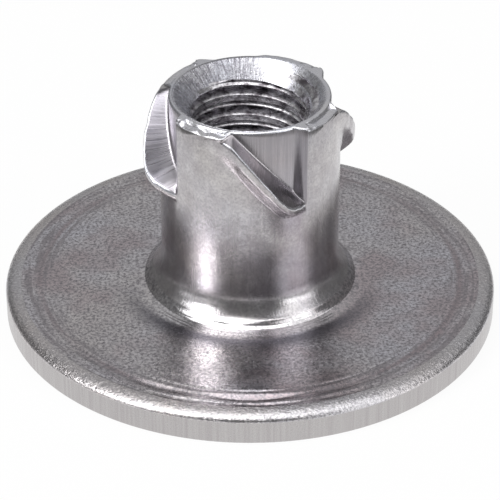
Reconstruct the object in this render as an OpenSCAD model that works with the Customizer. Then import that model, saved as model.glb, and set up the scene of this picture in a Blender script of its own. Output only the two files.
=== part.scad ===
// Tee nut: a round flange with a drawn barrel, one piece of sheet steel.
// The barrel stands on +Z and the flange's flat underside lies on z = 0.
// Four fins at the barrel's free end are pressed down and out of its wall, each
// leaving a pocket above it, so that the nut screws itself into wood and stays there.
// The bore has the size it is drilled to before the thread is cut.

/* [Overall] */
// Diameter of the flange
flange_d = 22; // [17:0.5:36]
// Height from the underside of the flange to the rim of the barrel
length = 10.55; // [9:0.05:24]

/* [Flange] */
// Thickness of the flange
flange_t = 1.35; // [0.9:0.05:2]
// Radius that blanking leaves around the flange's upper edge
edge_roll = 0.28; // [0.05:0.01:0.45]
// Distance from the flange's edge to the middle of the press ring
ring_inset = 1.25; // [0.8:0.05:2]
// Width of the shallow press ring
ring_w = 0.7; // [0.3:0.05:1]
// Depth of the press ring
ring_h = 0.04; // [0.02:0.01:0.1]

/* [Barrel] */
// Outside diameter of the barrel
barrel_d = 7.9; // [7.5:0.05:10]
// Radius of the hollow where the barrel flares into its shoulder
fillet_r = 1.45; // [0.7:0.05:1.6]
// Flare of the barrel at the crease above its shoulder
flare = 0.47; // [0.2:0.01:0.5]
// Radius of the rounded shoulder around the barrel's foot
shoulder_round = 1.7; // [1.1:0.05:2.2]
// Reach of the shoulder beyond the barrel's wall
shoulder_w = 1.33; // [1.1:0.01:1.6]
// Height of the shoulder above the flange
shoulder_h = 0.38; // [0.3:0.01:0.65]

/* [Thread] */
// Nominal diameter of the thread
thread_d = 6; // [4:0.5:6.5]
// Pitch of the thread
thread_pitch = 1; // [0.8:0.05:1.25]
// Width of the chamfer at the barrel's rim
mouth_w = 0.8; // [0.1:0.05:0.85]
// Height of the chamfer at the barrel's rim
mouth_h = 0.75; // [0.1:0.05:1]
// Radius that drawing leaves around the bore's mouth in the underside
entry_r = 1.3; // [0.5:0.05:1.6]

/* [Fins] */
// Number of fins around the barrel
fin_count = 4; // [2:1:4]
// Bearing of the first fin's end face, counter-clockwise from +X
fin_bearing = -52.5; // [-90:0.5:90]
// Arc over which a fin swells out of the wall
fin_arc = 66; // [55:1:80]
// Arc between a fin's outer corner and its end face
corner_arc = 18; // [10:1:24]
// Reach of the outer corner beyond the barrel's wall
fin_reach = 0.84; // [0.4:0.02:1.4]
// Drop of the lip below the rim where the pocket above it begins
start_drop = 0.27; // [0.1:0.01:0.5]
// Drop of the outer corner below the rim
corner_drop = 3.16; // [2:0.02:4]
// Drop of the lip's end below the rim
end_drop = 3.87; // [2.6:0.01:5]
// Height of the blunt lip along a fin's edge
lip_t = 0.12; // [0.05:0.01:0.3]
// Height of the swelling that carries the corner
root_h = 1.15; // [0.6:0.05:1.6]

/* [Pockets] */
// Arc of the pocket above a fin
pocket_arc = 50; // [40:1:54]
// Depth of the pocket into the barrel's wall
pocket_depth = 0.4; // [0.2:0.05:0.6]
// Arc over which the pocket runs out of the wall at its end face
ramp_arc = 5; // [3:0.5:10]
// Drop of the pocket's floor below the rim at its end face
floor_drop = 3.58; // [2.4:0.01:4.6]

/* [Hidden] */
$fn = 96;

flange_r = flange_d / 2;
barrel_r = barrel_d / 2;
bore_r = (thread_d - thread_pitch) / 2;
recess_r = barrel_r - pocket_depth;

// The shoulder's arc runs from the flange's face up to the crease, where the flare ends.
shoulder_foot = [barrel_r + shoulder_w, flange_t];
shoulder_top = [barrel_r + flare, flange_t + shoulder_h];
flare_h = sqrt(pow(fillet_r, 2) - pow(fillet_r - flare, 2));
shoulder_chord = norm(shoulder_foot - shoulder_top);
shoulder_out = [shoulder_top.y - shoulder_foot.y, shoulder_foot.x - shoulder_top.x] / shoulder_chord;
shoulder_mid = (shoulder_foot + shoulder_top) / 2
    - shoulder_out * sqrt(pow(shoulder_round, 2) - pow(shoulder_chord / 2, 2));

// The press ring is the bottom of a wide arc.
ring_round = (pow(ring_w / 2, 2) + pow(ring_h, 2)) / (2 * ring_h);

// Sections of a fin, as arcs back from its end face.
start_steps = 3;
long_steps = 6;
fin_turns = concat(
    [for (i = [0 : start_steps - 1]) fin_arc + (pocket_arc - fin_arc) * i / start_steps],
    [for (i = [0 : long_steps]) pocket_arc + (corner_arc - pocket_arc) * i / long_steps],
    [corner_arc / 2, 0]);
// Depth of a fin's feather edges inside the wall
sink = 0.03;
// How far inside the wall a fin is rooted, and how far below the rim its top stays
root_in = 0.7;
top_gap = 0.02;
// How far a cutter stands clear of what it cuts
clear = 1;
cut_r = barrel_r + fin_reach + clear;

// A share from 0 to 1 that leaves both ends level.
function smooth(t) = t * t * (3 - 2 * t);

// Share of the way from a fin's start to its corner, at an arc u before its end face.
function along(u) = min(1, (fin_arc - u) / (fin_arc - corner_arc));

// Share of the way from the corner to the end face.
function past(u) = max(0, (corner_arc - u) / corner_arc);

// Shares of the way from the fin's start to the pocket, and from there to the corner.
function before(u) = min(1, (fin_arc - u) / (fin_arc - pocket_arc));
function down(u) = min(1, max(0, (pocket_arc - u) / (pocket_arc - corner_arc)));

// Share of the corner's reach that the lip has, and the lip's radius.
function swell(u) = smooth(pow(along(u), 1.3)) * (1 - past(u));
function lip_r(u) = barrel_r - sink + (fin_reach + sink) * swell(u);

// The lip's height: it eases off the rim, and then steepens a little down to the corner.
function lip_z(u) = length - top_gap
    - (start_drop - top_gap) * smooth(before(u))
    - (corner_drop - start_drop) * down(u) * (0.7 + 0.3 * down(u))
    - (end_drop - corner_drop) * past(u);

// Height of the pocket's floor where it meets the recess, just above the rim before the pocket.
function floor_z(u) = length + top_gap - (floor_drop + top_gap) * max(0, 1 - u / pocket_arc);

// The floor is straight from the recess to the lip, and goes on past both.
function floor_at(r, u) = floor_z(u)
    + (lip_z(u) - floor_z(u)) * (r - recess_r) / max(pocket_depth, lip_r(u) - recess_r);

// A point of a radial section [r, z] at an arc u before the first fin's end face.
function at_turn(u, p) = [p.x * cos(fin_bearing - u), p.x * sin(fin_bearing - u), p.y];

// Faces of a solid swept through m sections of n points each.
function sweep_faces(m, n) = concat(
    [[for (j = [0 : n - 1]) j]],
    [for (i = [0 : m - 2], j = [0 : n - 1])
        [i * n + j, (i + 1) * n + j, i * n + (j + 1) % n]],
    [for (i = [0 : m - 2], j = [0 : n - 1])
        [(i + 1) * n + j, (i + 1) * n + (j + 1) % n, i * n + (j + 1) % n]],
    [[for (j = [0 : n - 1]) m * n - 1 - j]]);

module sweep(sections) {
    polyhedron(
        points = [for (s = sections, p = s) p],
        faces = sweep_faces(len(sections), len(sections[0])),
        convexity = 6);
}

// Half section of the flange and barrel, right of the axis.
module section() {
    difference() {
        union() {
            square([flange_r, flange_t]);
            square([barrel_r, length]);
            shoulder();
        }
        edge_corner();
        press_ring();
        bore();
    }
}

module shoulder() {
    intersection() {
        translate(shoulder_mid) circle(shoulder_round);
        square([flange_r, shoulder_top.y]);
    }
    difference() {
        square(shoulder_top + [0, flare_h]);
        translate([barrel_r + fillet_r, shoulder_top.y + flare_h]) circle(fillet_r);
    }
}

module edge_corner() {
    difference() {
        translate([flange_r - edge_roll, flange_t - edge_roll]) square(edge_roll + clear);
        translate([flange_r - edge_roll, flange_t - edge_roll]) circle(edge_roll);
    }
}

module press_ring() {
    translate([flange_r - ring_inset, flange_t - ring_h + ring_round]) circle(ring_round);
}

module bore() {
    translate([-clear, -clear]) square([bore_r + clear, length + 2 * clear]);
    polygon([
        [0, length - mouth_h],
        [bore_r, length - mouth_h],
        [bore_r + mouth_w, length],
        [bore_r + mouth_w, length + clear],
        [0, length + clear]]);
    difference() {
        translate([0, -clear]) square([bore_r + entry_r, clear + entry_r]);
        translate([bore_r + entry_r, entry_r]) circle(entry_r);
    }
}

// Radial section of a fin: its lip, and the swelling that carries it.
function fin_section(u) =
    let (
        r = lip_r(u),
        low = lip_z(u) - lip_t,
        out = r - barrel_r,
        top = min(low + root_h, length - top_gap),
        drop = root_h * (0.2 + 0.8 * swell(u)),
        inner = barrel_r - root_in
    )
    [for (p = [
        [inner, top],
        [r, top],
        [r, low],
        [barrel_r + 0.72 * out, low - 0.28 * drop],
        [barrel_r + 0.3 * out, low - 0.6 * drop],
        [barrel_r - sink, low - drop],
        [inner, low - drop]]) at_turn(u, p)];

module fin() {
    sweep([for (u = fin_turns) fin_section(u)]);
}

// What the press takes away above a fin.
function cut_section(u) =
    let (
        inner = recess_r - root_in / 2,
        top = length + clear
    )
    [for (p = [
        [inner, top],
        [cut_r, top],
        [cut_r, floor_at(cut_r, u)],
        [inner, floor_at(inner, u)]]) at_turn(u, p)];

module pocket() {
    difference() {
        sweep([for (u = fin_turns) cut_section(u)]);
        cylinder(r = recess_r, h = length + 2 * clear);
        linear_extrude(length + 2 * clear) polygon([for (p = [
            [recess_r, ramp_arc],
            [barrel_r, 0],
            [barrel_r, -ramp_arc],
            [bore_r, -ramp_arc],
            [bore_r, ramp_arc]])
            [p.x * cos(fin_bearing - p.y), p.x * sin(fin_bearing - p.y)]]);
    }
}

module around() {
    for (i = [0 : fin_count - 1]) rotate(i * 360 / fin_count) children();
}

module tee_nut() {
    color("silver") difference() {
        union() {
            rotate_extrude() section();
            around() fin();
        }
        around() pocket();
    }
}

tee_nut();
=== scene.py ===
# %% [markdown]
# # A tee nut, pressed from one sheet of steel
#
# A tee nut is a round flange with a threaded barrel standing on it. Four fins at the barrel's free
# end are pressed down and out of its wall, so that the nut bites into wood and can't turn back.
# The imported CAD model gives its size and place. This lesson makes its surface again as one fine
# mesh with a real thread, and then gives it the finishes that the press and the tap leave.

# %% Load the frame
import math

import bpy
import numpy as np
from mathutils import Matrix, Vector


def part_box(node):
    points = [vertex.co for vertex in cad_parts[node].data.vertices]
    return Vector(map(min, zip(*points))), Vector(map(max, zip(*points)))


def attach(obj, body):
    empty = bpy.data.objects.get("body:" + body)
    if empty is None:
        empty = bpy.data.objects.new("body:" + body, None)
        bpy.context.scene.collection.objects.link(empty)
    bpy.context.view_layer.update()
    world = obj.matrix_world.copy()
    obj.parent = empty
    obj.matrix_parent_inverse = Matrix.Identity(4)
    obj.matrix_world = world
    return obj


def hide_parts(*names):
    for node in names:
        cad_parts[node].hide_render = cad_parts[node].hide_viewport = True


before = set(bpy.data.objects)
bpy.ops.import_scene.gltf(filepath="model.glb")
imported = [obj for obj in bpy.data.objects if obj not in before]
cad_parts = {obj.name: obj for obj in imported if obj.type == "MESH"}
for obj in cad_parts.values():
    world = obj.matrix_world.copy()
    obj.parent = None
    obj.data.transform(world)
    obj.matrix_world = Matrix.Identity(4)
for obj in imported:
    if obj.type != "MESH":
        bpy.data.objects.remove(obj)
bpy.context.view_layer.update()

MM = 0.001
top_corner = np.array(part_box("tee_nut")[1]) / MM
FLANGE_R = top_corner[0]
LENGTH = top_corner[2]
print(f"flange radius {FLANGE_R:.2f} mm, length {LENGTH:.2f} mm")

# %% [markdown]
# ## The camera, the floor and the light
#
# The camera comes first, because it tells how large each detail will look. It stands in front of
# the nut and a third of a right angle above it, far enough off for the flange to keep its round
# shape. A camera is placed by its distance and its height angle about a point on the axis, and is
# then tipped down a little, which lifts the nut in the picture without a lens shift.

# %% The camera
CAMERA_DISTANCE = 105.0
CAMERA_ANGLE = 31.56
LOOK_AT = 4.4
TIP = 0.86
LENS = 169.9
SENSOR_WIDTH = 36.0
NEAREST_SEEN = 10.0


def place_camera():
    """Stand the camera at CAMERA_DISTANCE from the point LOOK_AT on the axis, on the -Y side, at
    (0, -cos(angle), sin(angle)) x distance."""
    up = math.radians(CAMERA_ANGLE)
    camera = bpy.data.objects.new("camera", bpy.data.cameras.new("camera"))
    camera.data.lens = LENS
    camera.data.sensor_width = SENSOR_WIDTH
    camera.data.clip_start = NEAREST_SEEN * MM
    camera.location = Vector((0, -math.cos(up), math.sin(up))) * CAMERA_DISTANCE * MM
    camera.location.z += LOOK_AT * MM
    camera.rotation_euler = (math.radians(90 - CAMERA_ANGLE - TIP), 0, 0)
    bpy.context.scene.collection.objects.link(camera)
    bpy.context.scene.camera = camera
    return camera


camera = place_camera()
print("camera at", [round(v, 4) for v in camera.location])

# %% [markdown]
# Bare steel has hardly any colour of its own: it shows what stands around it. So the light is
# built from what the nut should mirror. A dim card behind it gives the flange its middle grey, and
# a wide soft lamp hangs overhead. Lamps to the left and right, from low to high, draw the bright
# lines along the barrel, the fins, the foot and the rolled edge, and a small strong one at the
# left draws the brightest. The room between them stays dark grey, which keeps the edges clear.

# %% The lamps and the room
ROOM_GREY = 0.17
LAMP_DISTANCE = 0.5
LAMPS = [
    # name, bearing, height angle, width, height, radiance
    ("overhead_lamp", -50, 81, 46, 46, 1.9),
    ("left_lamp", -66, 43, 28, 26, 2.3),
    ("left_spot", -57, 34, 16, 16, 8.0),
    ("left_low_lamp", -62, 10, 46, 14, 0.8),
    ("right_lamp", 59, 33, 34, 44, 1.35),
    ("right_low_lamp", 58, 6, 36, 12, 2.2),
    ("right_high_lamp", 95, 60, 40, 30, 0.95),
    ("left_high_lamp", -48, 63, 34, 17, 2.2),
    ("back_card", 180, 34, 64, 52, 0.29),
]


def soft_lamp(name, bearing, height, wide, tall, radiance):
    """A rectangular lamp at a bearing from the front (positive to the right) and a height angle,
    wide and tall in degrees as seen from the nut. Its power is radiance x area x pi, so radiance
    is the level that a mirror shows."""
    data = bpy.data.lights.new(name, "AREA")
    data.shape = "RECTANGLE"
    halves = (math.radians(angle / 2) for angle in (wide, tall))
    data.size, data.size_y = (2 * LAMP_DISTANCE * math.tan(half) for half in halves)
    data.energy = radiance * data.size * data.size_y * math.pi
    lamp = bpy.data.objects.new(name, data)
    turn = math.radians(bearing)
    up = math.radians(height)
    away = Vector((math.sin(turn) * math.cos(up), -math.cos(turn) * math.cos(up), math.sin(up)))
    lamp.location = away * LAMP_DISTANCE
    lamp.rotation_euler = away.to_track_quat("Z", "Y").to_euler()
    bpy.context.scene.collection.objects.link(lamp)
    return lamp


def add(tree, kind, inputs=(), **settings):
    """Add a node, set its properties, and link or set each (socket, value) of its inputs."""
    made = tree.nodes.new(kind)
    for key, value in settings.items():
        setattr(made, key, value)
    for socket, value in dict(inputs).items():
        if isinstance(value, bpy.types.NodeSocket):
            tree.links.new(value, made.inputs[socket])
        else:
            made.inputs[socket].default_value = value
    return made


def maths(tree, operation, a, b):
    """A socket that holds the result of ADD, SUBTRACT, MULTIPLY or MAXIMUM on two values."""
    return add(tree, "ShaderNodeMath", {0: a, 1: b}, operation=operation).outputs[0]


def between(tree, value, low, high, start=0.3, end=0.7):
    """A socket that goes from low to high as a value goes from start to end."""
    return add(tree, "ShaderNodeMapRange", {0: value, 1: start, 2: end, 3: low, 4: high}).outputs[0]


def grey_room(level):
    """The world: one dark grey, and white where the camera sees it past the floor."""
    world = bpy.data.worlds.new("room")
    world.use_nodes = True
    tree = world.node_tree
    ray = add(tree, "ShaderNodeLightPath").outputs["Is Camera Ray"]
    grey = between(tree, ray, level, 1, 0, 1)
    tree.links.new(grey, tree.nodes["Background"].inputs["Color"])
    bpy.context.scene.world = world


grey_room(ROOM_GREY)
lamps = [soft_lamp(*row) for row in LAMPS]
bpy.context.scene.view_settings.view_transform = "Standard"
print("lamps:", [lamp.name for lamp in lamps])

# %% The floor
FLOOR_SIZE = 100.0
FLOOR_WHITE = 0.86
FLOOR_GLOW = 0.92
MIRRORED_GLOW = 0.96
WHITE_TO, GREY_FROM = 21.0, 26.0


def white_floor():
    """A flat square floor. It scatters light as white card does, and for the camera a share of it
    also glows, so that it looks white and still keeps the soft shadow. The steel mirrors it white
    up to WHITE_TO from the axis and as grey as the room past GREY_FROM, where a bright floor would
    draw a line round the flare."""
    half = FLOOR_SIZE * MM / 2
    mesh = bpy.data.meshes.new("floor")
    corners = [(-half, -half, 0), (half, -half, 0), (half, half, 0), (-half, half, 0)]
    mesh.from_pydata(corners, [], [(0, 1, 2, 3)])
    floor = bpy.data.objects.new("floor", mesh)
    bpy.context.scene.collection.objects.link(floor)

    material = bpy.data.materials.new("floor_card")
    material.use_nodes = True
    tree = material.node_tree
    tree.nodes.clear()
    white = (FLOOR_WHITE, FLOOR_WHITE, FLOOR_WHITE, 1)
    card = add(tree, "ShaderNodeBsdfDiffuse", {"Color": white})
    glow = add(tree, "ShaderNodeEmission", {"Color": (1, 1, 1, 1)})
    ray = add(tree, "ShaderNodeLightPath").outputs
    share = maths(tree, "MULTIPLY", ray["Is Camera Ray"], FLOOR_GLOW)
    share = maths(tree, "MAXIMUM", share, ray["Is Glossy Ray"])
    place = add(tree, "ShaderNodeTexCoord").outputs["Object"]
    off = add(tree, "ShaderNodeVectorMath", {0: place}, operation="LENGTH").outputs["Value"]
    level = between(tree, off, MIRRORED_GLOW, ROOM_GREY, WHITE_TO * MM, GREY_FROM * MM)
    level = maths(tree, "MAXIMUM", level, ray["Is Camera Ray"])
    tree.links.new(level, glow.inputs["Strength"])
    mix = add(tree, "ShaderNodeMixShader", {0: share, 1: card.outputs[0], 2: glow.outputs[0]})
    add(tree, "ShaderNodeOutputMaterial", {"Surface": mix.outputs[0]})
    mesh.materials.append(material)
    return floor


floor = white_floor()
print("floor", floor.dimensions[:2])

# %% [markdown]
# ## The shape as one grid
#
# The nut is a ring: walk round its axis and you come back, and walk along its section, up the
# bore, over the rim, down the barrel, round the flange and under it, and you come back too. Such a
# surface has no pole and no seam, so it is one grid of points that closes both ways. The first
# parameter is the turn about the axis. The second runs along the section, in stretches that are
# each a short formula for a radius and a height.
#
# The grid's columns stand closer together beside each fin's end face, where the shape is sharp.

# %% Columns round the axis
FINS = 4
FIN_TURN = 360 / FINS
FIN_BEARING = -52.5
COLUMNS = 80
BUNCH = 0.4


def bunched(share, squeeze):
    """s - squeeze x sin(2 pi s) / (2 pi): shares from 0 to 1, closer together at both ends."""
    return share - squeeze * np.sin(2 * np.pi * share) / (2 * np.pi)


def columns():
    """The turn of each column, and its arc back from the end face of its fin, in degrees. The
    arc is FIN_TURN x a bunched share, repeated for each fin."""
    share = np.arange(COLUMNS)[::-1] / COLUMNS
    arc = FIN_TURN * bunched(share, BUNCH)
    fin = np.repeat(np.arange(FINS), COLUMNS)
    arc = np.tile(arc, FINS)
    return (FIN_BEARING + FIN_TURN * fin - arc)[:, None], arc[:, None]


turn, back = columns()
print(f"{len(turn)} columns, the closest {FIN_TURN * (1 - BUNCH) / COLUMNS:.2f} degrees apart")

# %% Helpers for stretches of the section


def smooth(share):
    """3 s^2 - 2 s^3 of a share held between 0 and 1: it leaves both ends level."""
    share = np.clip(share, 0, 1)
    return share * share * (3 - 2 * share)


def steps(count, squeeze=0.0):
    """Shares from 0 up to but not including 1, bunched at both ends if squeeze > 0."""
    return bunched(np.arange(count) / count, squeeze)[None, :]


def straight(start, end, share):
    """Radius and height along a straight line between two points of the section."""
    return [a + (b - a) * share for a, b in zip(start, end)]


def join(*parts):
    """Stretches one after the other: radii beside radii and heights beside heights."""
    return [np.concatenate([side + 0 * turn for side in sides], axis=1) for sides in zip(*parts)]


def bell(r, middle, width):
    """exp(-((r - middle) / width)^2): the section of a rounded groove, 1 in its middle."""
    return np.exp(-((r - middle) / width) ** 2)


def wave(turn, seed, lowest, highest):
    """A closed random line round the axis, about -1 to 1: a sum of sines with whole numbers of
    waves from lowest up to highest, whose heights and starts come from a seeded generator."""
    dice = np.random.RandomState(seed)
    counts = np.arange(lowest, highest)
    heights = dice.normal(0, 1, len(counts)) / np.sqrt(len(counts))
    starts = dice.uniform(0, 2 * np.pi, len(counts))
    return (heights * np.sin(np.radians(turn) * counts + starts)).sum(axis=1, keepdims=True)


print("shares of a squeezed stretch:", np.round(steps(5, 0.5), 2))

# %% [markdown]
# ## The bore and its thread
#
# The bore is cut three times: the press leaves a rounded mouth below, a funnel opens the rim,
# and a tap cuts the thread, a ridge that climbs one pitch with each turn. Blender's Screw modifier
# could sweep a tooth, but joining it to the two mouths would take a boolean. A formula is simpler.
# At each turn and height the hole's radius is the widest of the three cuts, so the thread fades
# out at both mouths as the real one does.
#
# Level rows would cross the thread's edges and leave them ragged. So the rows of the bore climb
# with the thread, thirteen to a pitch, each along one line of the tooth. A row that would start
# below the mouth waits there until the thread reaches it, and one that passes the rim stops there.
# The tap also squeezes steel up beside each cut, so the crest has a furrow between two lips.

# %% The thread
THREAD_R = 3.0
DRILL_R = 2.5
PITCH = 1.0
TOOTH_LINES = [0, 0.05, 0.15, 0.18, 0.21, 0.29, 0.35, 0.42, 0.46, 0.70, 0.79, 0.90, 0.95]
TOOTH_DEPTHS = [1, 0.95, 0.05, 0, 0, 0.24, 0.26, 0.02, 0, 0, 0.26, 0.85, 1]
TOOTH_START = 0.86
THREAD_LOW = 0.3


def climbing_rows():
    """Heights of the bore's rows: pitch x (turns climbed + whole pitches + a line of the tooth),
    held between THREAD_LOW and BORE_TOP."""
    pitches = np.arange(-1, int(LENGTH / PITCH) + 2)[:, None]
    lines = (pitches + np.array(TOOTH_LINES) - TOOTH_START).ravel()[None, :]
    return np.clip(PITCH * (lines + turn / 360), THREAD_LOW, BORE_TOP)


def thread_radius(turn, z):
    """DRILL_R and a share of the thread's depth, read off the tooth's table at (z / pitch - turn /
    360): a narrow root, a furrow between two lips, a broad crest, and a flank that faces up."""
    phase = (z / PITCH - turn / 360 + TOOTH_START) % 1
    depth = np.interp(phase, TOOTH_LINES, TOOTH_DEPTHS, period=1)
    return DRILL_R + (THREAD_R - DRILL_R) * depth


# %% The funnel at the rim
MOUTH_R = 3.15
FUNNEL_R = 3.35
FUNNEL_H = 0.85
FUNNEL_BEND = 1.25


def funnel_drop(r):
    """Drop below the rim at a radius: FUNNEL_H x share ^ FUNNEL_BEND, where the share goes from 0
    at FUNNEL_R to 1 at the drilled bore. So the funnel is steepest inside and level outside."""
    share = np.clip((FUNNEL_R - r) / (FUNNEL_R - DRILL_R), 0, 1)
    return FUNNEL_H * share ** FUNNEL_BEND


def funnel_radius(z):
    """The same curve the other way round, as a radius for each height."""
    share = np.clip((LENGTH - z) / FUNNEL_H, 0, 2) ** (1 / FUNNEL_BEND)
    return FUNNEL_R - (FUNNEL_R - DRILL_R) * share


BORE_TOP = LENGTH - funnel_drop(MOUTH_R)
climbing = climbing_rows()
print(f"{climbing.shape[1]} rows climb from {climbing.min():.2f} to {climbing.max():.2f} mm")

# %% The bore
ENTRY_R = 1.3
ENTRY_ROWS = 6


def bore():
    """Radius of the thread, of the funnel or of the entry's quarter circle, whichever is largest,
    for level rows in the entry and climbing rows above it."""
    sweep = np.linspace(0, math.acos(1 - THREAD_LOW / ENTRY_R), ENTRY_ROWS)
    entry = ENTRY_R * (1 - np.cos(sweep))[None, :] + 0 * turn
    z = np.concatenate([entry, climbing], axis=1)
    round_in = DRILL_R + ENTRY_R - np.sqrt(ENTRY_R ** 2 - np.clip(ENTRY_R - z, 0, None) ** 2)
    return np.maximum(np.maximum(thread_radius(turn, z), funnel_radius(z)), round_in), z


r, z = bore()
print(f"bore: {r.shape[1]} rows, radius {r.min():.2f} to {r.max():.2f} mm")

# %% [markdown]
# ## The rim, a pocket and its fin
#
# A fin is a chip that the press pushes down and out but doesn't cut free. Seen along the turn it
# starts level with the rim, sinks and swings out to a corner, and its short end edge runs back to
# the wall. Above it stays the pocket: an upright wall with the same axis as the bore, which ramps
# out to the barrel's face at its end. Four curves say all this, each a function of the arc back
# from the end face: the wall's radius, its foot, and the lip's radius and height. On the whole
# wall between two pockets the same rows just lie on the barrel.

# %% The four curves of a fin
BARREL_R = 3.95
RECESS_R = 3.52
RAMP_ARCS = [7, 14, 12, 6]
START_ARCS = [6, 8, 16, 8]
POCKET_ARC = 50.0
WHOLE_ARC = 56.0
FIN_ARC = 66.0
CORNER_ARC = 17.5
BLUNT_ARC = 8.0
END_ARC = 6.0
FLOOR_DROP = 3.58
START_DROP = 0.27
CORNER_DROP = 3.16
END_DROP = 3.72
STEEPEN = 0.3
REACH = 0.85
SWELL_BEND = 1.1
RAGGED = 0.014
LIP = 0.1
ROOT_ARC = [0, 9, 18, 34, 50, 58, 66, 90]
ROOT_DROP = [0.25, 0.65, 0.9, 1.4, 1.3, 0.9, 0.35, 0.15]
CORNER_SOFT = 4.0
ROOT_SOFT = 5.0
EDGE_WIDTHS = (0.144, 0.18)
EDGE_HEIGHTS = (0.104, 0.1)
FOOT_DROPS = (0.112, 0.2)
LIP_START = 0.272


def whole(arc):
    """0 on a fin and 1 on the whole wall between two pockets. The change between them has its
    own length at each fin, because the punches wear."""
    change = np.repeat(START_ARCS, COLUMNS)[:, None]
    return smooth((arc - WHOLE_ARC + change) / change)


def by_wall(sizes, arc):
    """The first size on a fin, and the sum of both on the whole wall."""
    return sizes[0] + sizes[1] * whole(arc)


def blunt(arc):
    """Share of the lip's bluntness: 1 along the fin and 0 at both of its ends."""
    return (1 - whole(arc)) * smooth(arc / BLUNT_ARC)


def slide(arc):
    """0 up to the fin's start, and 1 where the next fin's end face stands."""
    return smooth((arc - FIN_ARC) / (FIN_TURN - FIN_ARC))


def wall_radius(arc):
    """Out over the fin's own ramp, even along the pocket, and out again to the barrel."""
    ramp = 1 - smooth(arc / np.repeat(RAMP_ARCS, COLUMNS)[:, None])
    return RECESS_R + (BARREL_R - RECESS_R) * np.maximum(ramp, whole(arc))


def wall_foot(arc):
    """A straight slope from the rim down to the end face, then a slide down the whole wall."""
    slope = np.clip(1 - arc / POCKET_ARC, 0, 1)
    top = by_wall(FOOT_DROPS, arc)
    return LENGTH - top - (FLOOR_DROP - top) * np.maximum(slope, slide(arc))


def soften(curve, arc, reach):
    """The mean of a curve at an arc and to both sides of it, which rounds off its corners."""
    sides = [curve((arc + step) % FIN_TURN) for step in (-reach, -reach / 2, reach / 2, reach)]
    return (curve(arc) + sum(sides)) / 5


def sharp_swell(arc):
    """Share of the reach: smooth((share of the way to the corner) ^ SWELL_BEND), and straight
    back."""
    along = np.clip((FIN_ARC - arc) / (FIN_ARC - CORNER_ARC), 0, 1)
    return smooth(along ** SWELL_BEND) * np.clip(arc / CORNER_ARC, 0, 1)


def swell(arc):
    """The sharp swell with its corner rounded, still 0 at both ends."""
    ends = np.sqrt(smooth(arc / END_ARC)) * (arc < FIN_ARC)
    return soften(sharp_swell, arc, CORNER_SOFT) * ends


def sharp_height(arc):
    """It eases off the rim, steepens a little down to the corner, and falls to the end."""
    before = smooth((FIN_ARC - arc) / (FIN_ARC - POCKET_ARC))
    down = np.clip((POCKET_ARC - arc) / (POCKET_ARC - CORNER_ARC), 0, 1)
    past = 1 - np.clip(arc / CORNER_ARC, 0, 1)
    drop = (
        LIP_START
        + (START_DROP - LIP_START) * before
        + (CORNER_DROP - START_DROP) * down * (1 - STEEPEN + STEEPEN * down)
        + (END_DROP - CORNER_DROP) * past
    )
    return LENGTH - drop - (END_DROP - LIP_START) * slide(arc)


def lip_height(arc):
    """The sharp height with its corner rounded, from the end face on."""
    reach = np.clip(arc - CORNER_SOFT, 0, CORNER_SOFT)
    return soften(sharp_height, arc, reach)


def lip_radius(turn, arc):
    """The barrel's radius and the share of the reach, with a little raggedness on the fin."""
    ragged = RAGGED * wave(turn, seed=3, lowest=20, highest=70) * smooth(arc / CORNER_ARC)
    return BARREL_R + REACH * swell(arc) + ragged * np.clip(3 * swell(arc), 0, 1)


def fin_root(arc):
    """Height of the foot of the swelling under the fin, read off a table of drops."""
    drop = soften(lambda near: np.interp(near, ROOT_ARC, ROOT_DROP), arc, ROOT_SOFT)
    return lip_height(arc) - LIP - drop


print("lip at the corner:", BARREL_R + REACH * swell(CORNER_ARC), lip_height(CORNER_ARC))

# %% The rim's land
SCORE_R = 3.6
SCORE_WIDTH = 0.06
SCORE_DEPTHS = (0.15, 0.05)
DENT_DEPTH = 0.022
DENTS_FROM = 0.3
SCORE_ARCS = (44.0, 49.0, 84.0, 88.0)
RELIEF_FROM = 0.125
LAND_ROWS = 18
EDGE_ROWS = 5


def top_relief(turn, arc, r):
    """Change of the top's height, 0 or less, where no pocket is: a score that runs on from the
    pocket's wall, with a bell-shaped section, and dents of the tool along the outer edge."""
    start, full, fades, end = SCORE_ARCS
    near = smooth((arc - start) / (full - start)) * smooth((end - arc) / (end - fades))
    depth = SCORE_DEPTHS[0] + SCORE_DEPTHS[1] * wave(turn, seed=5, lowest=10, highest=40)
    score = np.clip(bell(r, SCORE_R, SCORE_WIDTH) * depth, 0, None)
    dents = np.clip(wave(turn, seed=9, lowest=14, highest=50), 0, 1)
    dents = smooth((r - SCORE_R) / DENTS_FROM) * dents
    return -near * (score + DENT_DEPTH * dents)


def wall_top(arc):
    """Height at which the rim's quarter round meets the upright wall."""
    return LENGTH - by_wall(EDGE_HEIGHTS, arc)


def land():
    """Rows from the bore's last row out along the funnel to the wall, and then a quarter round,
    which is wider where the barrel is whole."""
    wall = wall_radius(back)
    edge = by_wall(EDGE_WIDTHS, back)
    share = steps(LAND_ROWS)
    r = MOUTH_R + (wall - edge - MOUTH_R) * share
    z = LENGTH - funnel_drop(r) + top_relief(turn, back, r) * smooth(share / RELIEF_FROM)
    sweep = steps(EDGE_ROWS) * np.pi / 2
    start_z = LENGTH - funnel_drop(wall - edge) + top_relief(turn, back, wall - edge)
    end_z = wall_top(back)
    round_r = wall - edge * (1 - np.sin(sweep))
    round_z = end_z + (start_z - end_z) * np.cos(sweep)
    return join((r, z), (round_r, round_z))


# %% From the rim down to the barrel
HOLLOW = 0.16
HOLLOW_SHARE = 0.4
WALL_ROWS = 7
HOLLOW_ROWS = 4
SLOPE_ROWS = 8
LIP_ROWS = 4
ROOT_ROWS = 13
BARREL_ROWS = 3
UPRIGHT = 0.25
TAPER = 0.12
TINY = 1e-6


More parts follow.
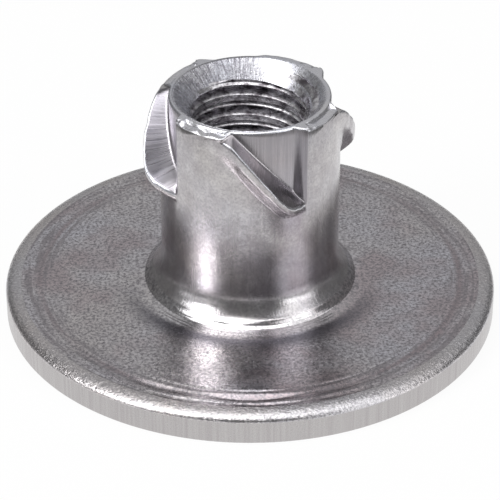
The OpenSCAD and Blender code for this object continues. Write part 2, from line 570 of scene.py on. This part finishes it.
def recess():
    """Rows down the pocket's wall, round a small hollow at its foot, and out along the straight
    floor to the lip. The hollow is (1-s)^2 a + 2 s (1-s) b + s^2 c about the foot b, and takes at
    most HOLLOW_SHARE of the wall and the floor."""
    foot = np.array([wall_radius(back), wall_foot(back)])
    top = np.array([wall_radius(back), wall_top(back)])
    edge = np.array([lip_radius(turn, back) - LIP * blunt(back), lip_height(back)])
    lengths = [np.linalg.norm(end - foot, axis=0) + TINY for end in (top, edge)]
    cut = [
        foot + (end - foot) * np.minimum(HOLLOW_SHARE, HOLLOW / length)
        for end, length in zip((top, edge), lengths)
    ]
    share = steps(HOLLOW_ROWS)
    hollow = (1 - share) ** 2 * cut[0] + 2 * share * (1 - share) * foot + share ** 2 * cut[1]
    wall = straight(top, cut[0], steps(WALL_ROWS, 0.3))
    level_r, level_z = straight(cut[1], edge, steps(SLOPE_ROWS))
    on_land = (back > POCKET_ARC) * (1 - whole(back))
    level_z = level_z + top_relief(turn, back, level_r) * on_land
    return join(wall, hollow, (level_r, level_z))


def fin_side():
    """The rounded lip, a quarter of an ellipse, and the swelling under it, whose reach is that of
    the lip x (1 - smooth(s)) after an upright start, and tapers a little from there."""
    edge_z = lip_height(back)
    sweep = steps(LIP_ROWS) * np.pi / 2
    lip_r = lip_radius(turn, back) - LIP * blunt(back) * (1 - np.sin(sweep))
    round_z, flat_z = 1 - np.cos(sweep), steps(LIP_ROWS)
    lip_z = edge_z - LIP * (flat_z + (round_z - flat_z) * blunt(back))
    share = steps(ROOT_ROWS)
    reach = (lip_radius(turn, back) - BARREL_R) * (1 - smooth((share - UPRIGHT) / (1 - UPRIGHT)))
    under_r = BARREL_R + reach * (1 - TAPER * share)
    under_z = edge_z - LIP + (fin_root(back) - edge_z + LIP) * share
    return join((lip_r, lip_z), (under_r, under_z))


def barrel():
    """Straight rows from under the fin down to the flare."""
    return straight((BARREL_R, fin_root(back)), (BARREL_R, FLARE_TOP), steps(BARREL_ROWS))


# %% [markdown]
# ## The foot, the flange and its edge
#
# Below the fins all columns are nearly the same, so these stretches are plain outlines: a flare
# that ends in a crease, a rounded shoulder, a flat face, a margin and the edge. Blanking rolls a
# sheet's upper edge over and leaves the lower one sharp. The press tool also prints fine rings on
# the shoulder and near the edge. They are small bell-shaped grooves, and only their depth changes
# round the axis.

# %% The outline below the barrel
FLANGE_T = 1.35
FLARE = 0.47
FLARE_R = 1.45
SHOULDER_H = 0.37
FLARE_SWEEP = math.acos(1 - FLARE / FLARE_R)
FLARE_TOP = FLANGE_T + SHOULDER_H + FLARE_R * math.sin(FLARE_SWEEP)
TILT_R = [4.42, 4.48, 4.57, 4.72, 4.79, 4.86, 5.14, 5.22, 5.32, 5.50]
TILTS = [24, 36, 40, 38, 20, 6, 5, 12, 3, 0]
SHOULDER_RINGS = [(4.62, 0.014, 0.03), (4.93, 0.010, 0.035), (5.07, 0.010, 0.035)]
SHOULDER_UNEVEN = 0.4
FLARE_ROWS = 8
SHOULDER_ROWS = 31


def flare():
    """Part of a hollow circle of FLARE_R, from the barrel's wall out to the crease."""
    sweep = steps(FLARE_ROWS) * FLARE_SWEEP
    return BARREL_R + FLARE_R * (1 - np.cos(sweep)), FLARE_TOP - FLARE_R * np.sin(sweep)


def shoulder():
    """Height falls by the sum of tan(tilt) x step of radius, where the tilt is read off a table:
    a round slope, a nearly level strip and a small last step. Less a few bell-shaped rings."""
    r = TILT_R[0] + (TILT_R[-1] - TILT_R[0]) * steps(SHOULDER_ROWS)
    tilt = np.radians(np.interp(r, TILT_R, TILTS))
    fall = np.cumsum(np.tan(tilt), axis=1)
    fall = SHOULDER_H * (fall - fall[:, :1]) / (fall[:, -1:] - fall[:, :1])
    uneven = 1 + SHOULDER_UNEVEN * wave(turn, seed=11, lowest=2, highest=9)
    groove = sum(deep * bell(r, at, wide) for at, deep, wide in SHOULDER_RINGS)
    return r + 0 * turn, FLANGE_T + SHOULDER_H - fall - groove * uneven


print(f"the flare starts {FLARE_TOP:.2f} mm above the underside")

# %% The flange
ROLL_W = 0.7
ROLL_H = 0.33
BURR = 0.03
FACE_RINGS = [(9.17, 0.03, 0.06, 0.12), (9.60, 0.14, 0.24, 0.2), (10.08, 0.08, 0.15, 0.22)]
RING_FRONT = 5
RING_BACK = 0.32
RING_UNEVEN = 0.3
RING_ZONE_R = 8.8
FACE_ROWS = 8
ZONE_ROWS = 42
ROLL_ROWS = 14
SIDE_ROWS = 2
BEVEL_ROWS = 2
UNDER_ROWS = 5


def flange_face():
    """The flat face with bell-shaped grooves at the radii of FACE_RINGS, each with a depth and an
    inner and an outer width. They are deepest in front, fall off as cos ^ RING_FRONT to RING_BACK
    of that, and wander round the flange. From RING_ZONE_R on the rows stand closer together."""
    start, end = TILT_R[-1], FLANGE_R - ROLL_W
    plain = start + (RING_ZONE_R - start) * steps(FACE_ROWS)
    zone = RING_ZONE_R + (end - RING_ZONE_R) * steps(ZONE_ROWS)
    r = np.concatenate([plain, zone], axis=1)
    z = FLANGE_T + 0 * turn
    front = np.clip(np.cos(np.radians(turn + 90)), 0, 1) ** RING_FRONT
    for number, (at, deep, inner, outer) in enumerate(FACE_RINGS):
        wander = RING_UNEVEN * wave(turn, seed=20 + number, lowest=2, highest=19)
        uneven = RING_BACK + (1 - RING_BACK) * front + wander
        wide = np.where(r < at, inner, outer)
        z = z - np.clip(deep * uneven, 0, None) * bell(r, at, wide)
    return r, z


def roll():
    """The rolled edge: a quarter of a flat ellipse, ROLL_W wide and ROLL_H high."""
    sweep = steps(ROLL_ROWS) * np.pi / 2
    r = FLANGE_R - ROLL_W * (1 - np.sin(sweep))
    return r, FLANGE_T - ROLL_H * (1 - np.cos(sweep)) + 0 * turn


def sheared_side():
    """The upright side of the flange, down to the burr line."""
    return straight((FLANGE_R, FLANGE_T - ROLL_H), (FLANGE_R, BURR), steps(SIDE_ROWS))


def underside():
    """A fine bevel, and the flat underside back to the bore's rounded mouth."""
    bevel = straight((FLANGE_R, BURR), (FLANGE_R - BURR, 0), steps(BEVEL_ROWS))
    under = straight((FLANGE_R - BURR, 0), (DRILL_R + ENTRY_R, 0), steps(UNDER_ROWS))
    return join(bevel, under)


print("rings on the face at", [at for at, *_ in FACE_RINGS])

# %% [markdown]
# ## Joining the stretches into a mesh
#
# The stretches are put side by side in one table of radii and one of heights, and turned into
# points with x = r cos(turn) and y = r sin(turn). Each point joins its neighbours to the right and
# above, and the last ones join the first. Round the bore, a row has climbed a whole pitch when it
# comes back, so there it meets the row that is one pitch further up. Rows that wait at the mouth
# or have stopped at the rim share one point, and the triangles that this leaves empty are dropped.

# %% The grid
STRETCHES = [
    ("cut_steel", bore),
    ("funnel_steel", land),
    ("shorn_steel", recess),
    ("drawn_steel", fin_side),
    ("drawn_steel", barrel),
    ("drawn_steel", flare),
    ("pressed_steel", shoulder),
    ("pressed_steel", flange_face),
    ("rolled_steel", roll),
    ("sheared_steel", sheared_side),
    ("pressed_steel", underside),
]
TORN_FROM = 0.1
SHARP_ANGLE = 38.0


def grid():
    """All stretches side by side: radii, heights and finishes. The whole wall between two pockets
    belongs to the recess's rows, but has the barrel's finish, and a fin's lip is torn as bright
    as the rim."""
    tables = [], [], []
    for finish, stretch in STRETCHES:
        r, z = (part + 0 * turn for part in np.broadcast_arrays(*stretch()))
        finishes = np.full(r.shape, finish)
        if stretch is recess:
            finishes = np.where(whole(back) > 0.5, "drawn_steel", finishes)
        if stretch is fin_side:
            torn = (np.arange(r.shape[1]) < LIP_ROWS) & (blunt(back) > TORN_FROM)
            finishes = np.where(torn, "funnel_steel", finishes)
        for table, part in zip(tables, (r, z, finishes)):
            table.append(part)
        print(f"  {stretch.__name__}: {r.shape[1]} rows")
    return [np.concatenate(table, axis=1) for table in tables]


def shared_points(z):
    """A number for each point of the grid, the same for all those of a column that wait or have
    stopped. The climbing rows start after the entry's level rows."""
    index = np.arange(z.size).reshape(z.shape)
    first = bore()[0].shape[1] - climbing.shape[1]
    last = first + climbing.shape[1]
    rows = index[:, first:last]
    rows = np.where(climbing <= THREAD_LOW, index[:, first - 1:first], rows)
    index[:, first:last] = np.where(climbing >= BORE_TOP, index[:, last:last + 1], rows)
    return index, first, last


def triangles(index, first, last):
    """Two triangles between each point and its neighbours beside and above, without the empty
    ones, and the number of the grid's cell that each belongs to."""
    pitch_rows = len(TOOTH_LINES)
    beside = np.roll(index, -1, axis=0)
    beside[-1, first:last] = index[0, last]
    beside[-1, first:last - pitch_rows] = index[0, first + pitch_rows:last]
    above = np.roll(index, -1, axis=1)
    far = np.roll(beside, -1, axis=1)
    corners = np.stack([index, above, far, index, far, beside], axis=-1).reshape(-1, 3)
    cell = np.repeat(np.arange(index.size), 2)
    a, b, c = corners.T
    full = (a != b) & (b != c) & (c != a)
    return corners[full], cell[full]


def build_nut():
    """The nut's mesh object, with one material for each finish. Triangles of the bore that lie on
    the funnel have the rim's finish."""
    r, z, finishes = grid()
    angle = np.radians(turn)
    points = np.stack([r * np.cos(angle), r * np.sin(angle), z], axis=-1).reshape(-1, 3) * MM
    faces, cell = triangles(*shared_points(z))
    funnel = ((z > LENGTH - FUNNEL_H) & (r < funnel_radius(z) + TINY)).ravel()
    finish = finishes.ravel()[cell]
    finish[(finish == "cut_steel") & funnel[faces].all(axis=1)] = "funnel_steel"
    used, faces = np.unique(faces, return_inverse=True)
    mesh = bpy.data.meshes.new("tee_nut_surface")
    mesh.from_pydata(points[used], [], faces.reshape(-1, 3))
    names = sorted(set(finish))
    for name in names:
        mesh.materials.append(bpy.data.materials.new(name))
    mesh.polygons.foreach_set("material_index", np.searchsorted(names, finish).astype(np.int32))
    mesh.shade_smooth()
    mesh.set_sharp_from_angle(angle=math.radians(SHARP_ANGLE))
    nut = bpy.data.objects.new("steel_tee_nut", mesh)
    bpy.context.scene.collection.objects.link(nut)
    return nut


nut = build_nut()
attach(nut, "root")
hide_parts("tee_nut")
print(f"{len(nut.data.vertices)} points, {len(nut.data.polygons)} triangles")

# %% Check that the mesh is closed and faces outwards


def signed_volume(mesh):
    """Sum of x . (y cross z) / 6 over the triangles: positive if the faces point outwards."""
    points = np.empty(len(mesh.vertices) * 3)
    mesh.vertices.foreach_get("co", points)
    corners = np.empty(len(mesh.loops), dtype=np.int32)
    mesh.loops.foreach_get("vertex_index", corners)
    a, b, c = points.reshape(-1, 3)[corners.reshape(-1, 3)].transpose(1, 0, 2)
    return (a * np.cross(b, c)).sum() / 6


def open_edges(mesh):
    """How many edges don't join exactly two triangles."""
    edges = np.empty(len(mesh.loops), dtype=np.int32)
    mesh.loops.foreach_get("edge_index", edges)
    return int((np.bincount(edges) != 2).sum())


print(f"volume {signed_volume(nut.data) / MM ** 3:.1f} cubic mm, {open_edges(nut.data)} open edges")

# %% [markdown]
# ## The steel's finishes
#
# The whole nut is the same zinc-bright steel, but each tool leaves its own finish. Drawing leaves
# fine lines along the barrel, and shearing leaves coarse ones in the pockets and on the flange's
# edge. A punch scrapes the funnel bright, pressing leaves the flange dull and speckled, and the
# tap leaves the thread clean, with specks of dried oil. Image textures could hold all this, but
# noise made by nodes stays sharp at any distance. Four effects are shared, so each is a node
# group that only puts out a value: lines of a tool that runs along the axis, rings of one that
# turns, grain, and broad stains.

# %% Node groups


def new_group(name, inputs):
    """An empty node group with one output, Value, and the named number inputs."""
    group = bpy.data.node_groups.new(name, "ShaderNodeTree")
    for label, default in inputs:
        socket = group.interface.new_socket(label, in_out="INPUT", socket_type="NodeSocketFloat")
        socket.default_value = default
    group.interface.new_socket("Value", in_out="OUTPUT", socket_type="NodeSocketFloat")
    entry = group.nodes.new("NodeGroupInput").outputs
    return group, entry


def place_along(tree, axis):
    """A socket for how far a place lies along x, y or z, which are the axes 0, 1 and 2."""
    place = add(tree, "ShaderNodeTexCoord").outputs["Object"]
    return add(tree, "ShaderNodeSeparateXYZ", {0: place}).outputs[axis]


def from_axis(tree, operation):
    """The node that takes the NORMALIZE or the LENGTH of a place without its height."""
    place = add(tree, "ShaderNodeTexCoord").outputs["Object"]
    flat = add(tree, "ShaderNodeVectorMath", {0: place, 1: (1, 1, 0)}, operation="MULTIPLY")
    return add(tree, "ShaderNodeVectorMath", {0: flat.outputs[0]}, operation=operation)


def direction(tree):
    """A socket for the unit direction away from the axis."""
    return from_axis(tree, "NORMALIZE").outputs[0]


def distance(tree):
    """A socket for the distance from the axis."""
    return from_axis(tree, "LENGTH").outputs["Value"]


def times(tree, a, b):
    """A socket that holds a x b."""
    return maths(tree, "MULTIPLY", a, b)


def noise_value(tree, place, scale, detail, rough=0.6):
    """A socket that holds soft noise of a vector, about 0.5."""
    return add(
        tree, "ShaderNodeTexNoise",
        {"Vector": place, "Scale": scale, "Detail": detail, "Roughness": rough},
    ).outputs[0]


def stretched_noise(tree, way, scale, along, detail):
    """A socket that holds noise of the vector way x scale + (0, 0, along)."""
    way = add(tree, "ShaderNodeVectorMath", {0: way, "Scale": scale}, operation="SCALE").outputs[0]
    shift = add(tree, "ShaderNodeCombineXYZ", {2: along}).outputs[0]
    place = add(tree, "ShaderNodeVectorMath", {0: way, 1: shift}).outputs[0]
    return noise_value(tree, place, 1.0, detail)


def lines_group():
    """Noise of (unit direction x Count, (height + radius) x Change): it hardly changes along the
    tool's path, so it draws upright lines on a barrel and radial ones on a flat. Outside the
    pockets' wall the direction turns by Sweep radians a metre, which slants the lines of a fin."""
    group, entry = new_group("tool_lines", [("Count", 30.0), ("Change", 200.0), ("Sweep", 0.0)])
    reach = distance(group)
    past = maths(group, "MAXIMUM", maths(group, "SUBTRACT", reach, RECESS_R * MM), 0)
    turned = {"Vector": direction(group), "Angle": times(group, past, entry[2])}
    swept = add(group, "ShaderNodeVectorRotate", turned, rotation_type="Z_AXIS").outputs[0]
    along = times(group, maths(group, "ADD", reach, place_along(group, 2)), entry[1])
    add(group, "NodeGroupOutput", {0: stretched_noise(group, swept, entry[0], along, 3.0)})
    return group


def rings_group():
    """Noise of (direction x Change, (radius - height) x Count): it changes slowly round the axis
    and quickly along the section, so it draws broken rings."""
    group, entry = new_group("turning_rings", [("Count", 6000.0), ("Change", 2.0)])
    out = maths(group, "SUBTRACT", distance(group), place_along(group, 2))
    out = times(group, out, entry[0])
    add(group, "NodeGroupOutput", {0: stretched_noise(group, direction(group), entry[1], out, 2.0)})
    return group


def grain_group():
    """Fine noise in all directions: the speckle of a pressed skin."""
    group, entry = new_group("pressed_grain", [("Fineness", 4000.0)])
    place = add(group, "ShaderNodeTexCoord").outputs["Object"]
    add(group, "NodeGroupOutput", {0: noise_value(group, place, entry[0], 4.0, 0.7)})
    return group


def stains_group():
    """Broad soft patches between 0 and 1: noise with its middle stretched."""
    group, entry = new_group("stains", [("Size", 250.0)])
    place = add(group, "ShaderNodeTexCoord").outputs["Object"]
    noise = noise_value(group, place, entry[0], 3.0, 0.55)
    add(group, "NodeGroupOutput", {0: between(group, noise, 0, 1, 0.35, 0.65)})
    return group


LINES, RINGS, GRAIN, STAINS = lines_group(), rings_group(), grain_group(), stains_group()
print("groups:", [group.name for group in (LINES, RINGS, GRAIN, STAINS)])

# %% Helpers for a finish
MICRON = 0.001 * MM


def use(tree, group, **inputs):
    """Place a node group in a material, and return its value's socket."""
    made = tree.nodes.new("ShaderNodeGroup")
    made.node_tree = group
    for name, value in inputs.items():
        made.inputs[name].default_value = value
    return made.outputs[0]


def fade(tree, place, start, end, low=0, high=1):
    """A socket that goes from low to high as a place goes from start to end in millimetres."""
    return between(tree, place, low, high, start * MM, end * MM)


def ring(tree, reach, start, full, fades, end):
    """A socket that is 1 from full to fades, and 0 up to start and past end, in millimetres."""
    return times(tree, fade(tree, reach, start, full), fade(tree, reach, fades, end, 1, 0))


def blend(tree, share, a, b):
    """A socket that mixes two colours."""
    return add(tree, "ShaderNodeMix", {0: share, 6: a, 7: b}, data_type="RGBA").outputs[2]


def bump(tree, height, microns, strength, under=None):
    """A socket with the normal that a height gives, on top of another if there is one."""
    inputs = {"Height": height, "Distance": microns * MICRON, "Strength": strength}
    if under is not None:
        inputs["Normal"] = under
    return add(tree, "ShaderNodeBump", inputs).outputs[0]


def steel(name, colour, roughness, normal):
    """Finish a material: metallic Principled BSDF with a linked colour, roughness and normal."""
    tree = bpy.data.materials[name].node_tree
    shader = tree.nodes["Principled BSDF"]
    shader.inputs["Metallic"].default_value = 1
    for socket, value in (("Base Color", colour), ("Roughness", roughness), ("Normal", normal)):
        tree.links.new(value, shader.inputs[socket])
    print("finished", name)


def open_tree(name):
    """The node tree of one of the nut's materials."""
    material = bpy.data.materials[name]
    material.use_nodes = True
    return material.node_tree


# %% [markdown]
# ### Drawn, on the barrel and under the fins
#
# The die has stroked this skin along the axis. The lines are fine and faint, and the colour
# wanders between a warm and a cool grey, with small dull blotches and a fine speckle on top.

# %% Drawn steel
tree = open_tree("drawn_steel")
fine = use(tree, LINES, Count=44, Change=160)
broad = use(tree, LINES, Count=9, Change=120)
grain = use(tree, GRAIN, Fineness=9000)
stain = use(tree, STAINS, Size=320)
blotch = use(tree, STAINS, Size=1400)
warm, cool, bright = (0.64, 0.61, 0.60, 1), (0.62, 0.605, 0.64, 1), (0.72, 0.70, 0.69, 1)
dull, dark = (0.34, 0.31, 0.33, 1), (0.32, 0.31, 0.325, 1)
colour = blend(tree, stain, warm, cool)
colour = blend(tree, between(tree, fine, 0, 0.45), colour, bright)
colour = blend(tree, between(tree, blotch, 0.42, 0, start=0, end=1), colour, dull)
colour = blend(tree, between(tree, grain, 0.55, 0, start=0.35, end=0.6), colour, dark)
roughness = between(tree, broad, 0.2, 0.28)
normal = bump(tree, fine, 8, 0.5)
normal = bump(tree, grain, 5, 0.5, under=normal)
steel("drawn_steel", colour, roughness, normal)

# %% [markdown]
# ### Shorn, in the pockets
#
# A shearing punch drags the steel along the pocket and leaves lines of uneven depth, which slant
# on the slope. A painted shade makes the slope darker than the wall above it. One punch was
# blunter than the others, so the lines on the fin at the left are deeper, and a painted shade
# darkens that fin.

# %% Shorn steel
SLANT = math.radians(3) / MM
LEFT_FIN = (-4.0, -3.4)

tree = open_tree("shorn_steel")
coarse = use(tree, LINES, Count=46, Change=300, Sweep=SLANT)
fine = use(tree, LINES, Count=80, Change=500, Sweep=SLANT)
patch = use(tree, STAINS, Size=700)
stain = use(tree, STAINS, Size=420)
across = place_along(tree, 0)
warm, cool = (0.51, 0.475, 0.49, 1), (0.50, 0.48, 0.51, 1)
# the first two colours here are painted shade; the last is the dark of the tool's lines
shaded, oil_and_painted_shade, scored = (0.16, 0.16, 0.20, 1), (0.16, 0.15, 0.18, 1), (0.16, 0.155, 0.18, 1)
# painted shade: the slope, out from the pocket's wall, is darkened by up to a third
on_slope = fade(tree, distance(tree), RECESS_R + 0.04, RECESS_R + 0.2, 0, 0.32)
depth = times(tree, between(tree, coarse, 0.9, 0, start=0.38, end=0.58), patch)
depth = times(tree, depth, fade(tree, across, *LEFT_FIN, 1, 0.3))
colour = blend(tree, stain, warm, cool)
# painted shade: the fin at the left is blended towards dark grey
colour = blend(tree, fade(tree, across, *LEFT_FIN, 0.4, 0), colour, shaded)
# painted shade: the slope is blended towards dark grey
colour = blend(tree, on_slope, colour, oil_and_painted_shade)
colour = blend(tree, depth, colour, scored)
roughness = between(tree, fine, 0.24, 0.36)
normal = bump(tree, coarse, 10, 0.6)
normal = bump(tree, fine, 4, 0.6, under=normal)
steel("shorn_steel", colour, roughness, normal)

# %% [markdown]
# ### Scraped, in the funnel at the rim
#
# A conical punch opens the rim. It scrapes the steel along the slope, so its lines all point to
# the axis, and it tears the surface into small specks. The marks fade from left to right, so the
# right side is lighter and smoother. The level land round it has hardly any.

# %% Scraped steel
tree = open_tree("funnel_steel")
scrape = use(tree, LINES, Count=52, Change=900)
speck = use(tree, GRAIN, Fineness=6500)
stain = use(tree, STAINS, Size=420)
warm, cool = (0.80, 0.79, 0.82, 1), (0.76, 0.77, 0.84, 1)
scratched, specked = (0.22, 0.215, 0.25, 1), (0.26, 0.25, 0.28, 1)
on_slope = fade(tree, distance(tree), FUNNEL_R - 0.04, FUNNEL_R + 0.04, 1, 0.12)
marked = times(tree, on_slope, fade(tree, place_along(tree, 0), 0, 0.8, 1, 0.15))
scratch = times(tree, between(tree, scrape, 0.9, 0, start=0.38, end=0.6), marked)
specks = times(tree, between(tree, speck, 0.6, 0, start=0.38, end=0.58), marked)
colour = blend(tree, stain, warm, cool)
colour = blend(tree, scratch, colour, scratched)
colour = blend(tree, specks, colour, specked)
roughness = between(tree, speck, 0.2, 0.36)
normal = bump(tree, times(tree, scrape, marked), 50, 0.9)
normal = bump(tree, times(tree, speck, marked), 50, 0.9, under=normal)
steel("funnel_steel", colour, roughness, normal)

# %% [markdown]
# ### Cut, on the thread
#
# The tap turns, so its lines follow the thread, and cutting oil has dried in it as dark specks.

# %% Cut steel
tree = open_tree("cut_steel")
rings = use(tree, RINGS, Count=9000, Change=3)
speck = use(tree, GRAIN, Fineness=2500)
oil_and_painted_shade, clean = (0.20, 0.18, 0.20, 1), (0.84, 0.83, 0.86, 1)
colour = blend(tree, between(tree, speck, 0, 1, start=0.38, end=0.58), oil_and_painted_shade, clean)
roughness = between(tree, rings, 0.2, 0.34)
normal = bump(tree, rings, 10, 0.5)
normal = bump(tree, speck, 20, 0.5, under=normal)
steel("cut_steel", colour, roughness, normal)

# %% [markdown]
# ### Pressed, on the flange
#
# The sheet's rolled skin is flattened between two dies. It is duller and speckled, has faint
# purple-brown and bluish stains from heat and oil, and carries broken rings of the turned die near
# its edge. The shoulder takes the hardest squeeze, which polishes it. In front it has a painted
# highlight, and a ring of painted dark reflection lies outside it.

# %% Pressed steel
MARGIN = (8.7, 9.1)
STAINED_RING = (9.25, 9.4, 9.5, 9.75)
# painted reflection: a dark ring on the flange's face in front of the shoulder
PAINTED_REFLECTION_RING = (5.2, 5.45, 5.7, 6.4)
# painted highlight: the shoulder's ring, lightened in front
PAINTED_HIGHLIGHT_RING = (5.0, 5.4)
POLISHED = (5.0, 5.6)
FRONT = (-4.0, -1.0)

tree = open_tree("pressed_steel")
grain = use(tree, GRAIN, Fineness=7500)
coarse = use(tree, GRAIN, Fineness=1100)
rings = use(tree, RINGS, Count=5000, Change=3)
stain = use(tree, STAINS, Size=190)
heat = use(tree, STAINS, Size=300)
cloud = use(tree, STAINS, Size=900)
reach = distance(tree)
front = fade(tree, place_along(tree, 1), *FRONT, 1, 0)
print("masks on the flange from", PAINTED_HIGHLIGHT_RING[0], "to", STAINED_RING[-1], "mm from the axis")

# %% Colour of pressed steel
warm, cool, brown = (0.77, 0.735, 0.735, 1), (0.745, 0.74, 0.80, 1), (0.58, 0.49, 0.51, 1)
clouded, ringed, stained = (0.44, 0.40, 0.43, 1), (0.38, 0.35, 0.37, 1), (0.42, 0.35, 0.37, 1)
# the second and third of these are painted light: a painted highlight and a painted dark reflection
speckled, light, oil_and_painted_shade = (0.27, 0.255, 0.275, 1), (0.90, 0.89, 0.90, 1), (0.15, 0.145, 0.17, 1)
broken = between(tree, rings, 0.8, 0, start=0.4, end=0.55)
uneven = between(tree, stain, 0.3, 0.85, start=0, end=1)
colour = blend(tree, stain, warm, cool)
for share, tone in (
    (between(tree, heat, 0, 0.8, start=0.5, end=1), brown),
    (between(tree, cloud, 0.25, 0, start=0, end=1), clouded),
    (times(tree, broken, fade(tree, reach, *MARGIN)), ringed),
    (times(tree, ring(tree, reach, *STAINED_RING), uneven), stained),
    (between(tree, grain, 1, 0, start=0.38, end=0.58), speckled),
    # painted highlight: the shoulder is lighter in front
    (times(tree, fade(tree, reach, *PAINTED_HIGHLIGHT_RING, 0.4, 0), front), light),
    # painted reflection: a dark ring in front, as the flange would mirror the dark flare
    (times(tree, ring(tree, reach, *PAINTED_REFLECTION_RING), times(tree, front, 0.82)), oil_and_painted_shade),
):
    colour = blend(tree, share, colour, tone)
roughness = times(tree, between(tree, coarse, 0.2, 0.32), fade(tree, reach, *POLISHED, 0.55, 1))
normal = bump(tree, rings, 6, 0.4)
normal = bump(tree, grain, 8, 0.6, under=normal)
normal = bump(tree, coarse, 20, 0.3, under=normal)
steel("pressed_steel", colour, roughness, normal)

# %% [markdown]
# ### Rolled over, on the flange's margin
#
# Where the sheet's skin is pulled over the edge it puckers into small soft dents.

# %% Rolled steel
tree = open_tree("rolled_steel")
dents = use(tree, GRAIN, Fineness=4200)
grain = use(tree, GRAIN, Fineness=9000)
stain = use(tree, STAINS, Size=260)
warm, cool, dark = (0.69, 0.645, 0.635, 1), (0.68, 0.665, 0.69, 1), (0.34, 0.33, 0.35, 1)
colour = blend(tree, stain, warm, cool)
colour = blend(tree, between(tree, grain, 0.7, 0, start=0.36, end=0.6), colour, dark)
roughness = between(tree, grain, 0.17, 0.28)
normal = bump(tree, dents, 60, 0.7)
normal = bump(tree, grain, 12, 0.6, under=normal)
steel("rolled_steel", colour, roughness, normal)

# %% [markdown]
# ### Sheared, on the flange's edge
#
# Blanking leaves short upright lines on the side, where the die has cut the sheet.

# %% Sheared steel
tree = open_tree("sheared_steel")
lines = use(tree, LINES, Count=90, Change=160)
grain = use(tree, GRAIN, Fineness=9000)
dull, bright = (0.455, 0.43, 0.435, 1), (0.545, 0.53, 0.525, 1)
colour = blend(tree, between(tree, lines, 0, 1), dull, bright)
roughness = between(tree, grain, 0.22, 0.34)
normal = bump(tree, lines, 12, 0.5)
normal = bump(tree, grain, 6, 0.5, under=normal)
steel("sheared_steel", colour, roughness, normal)
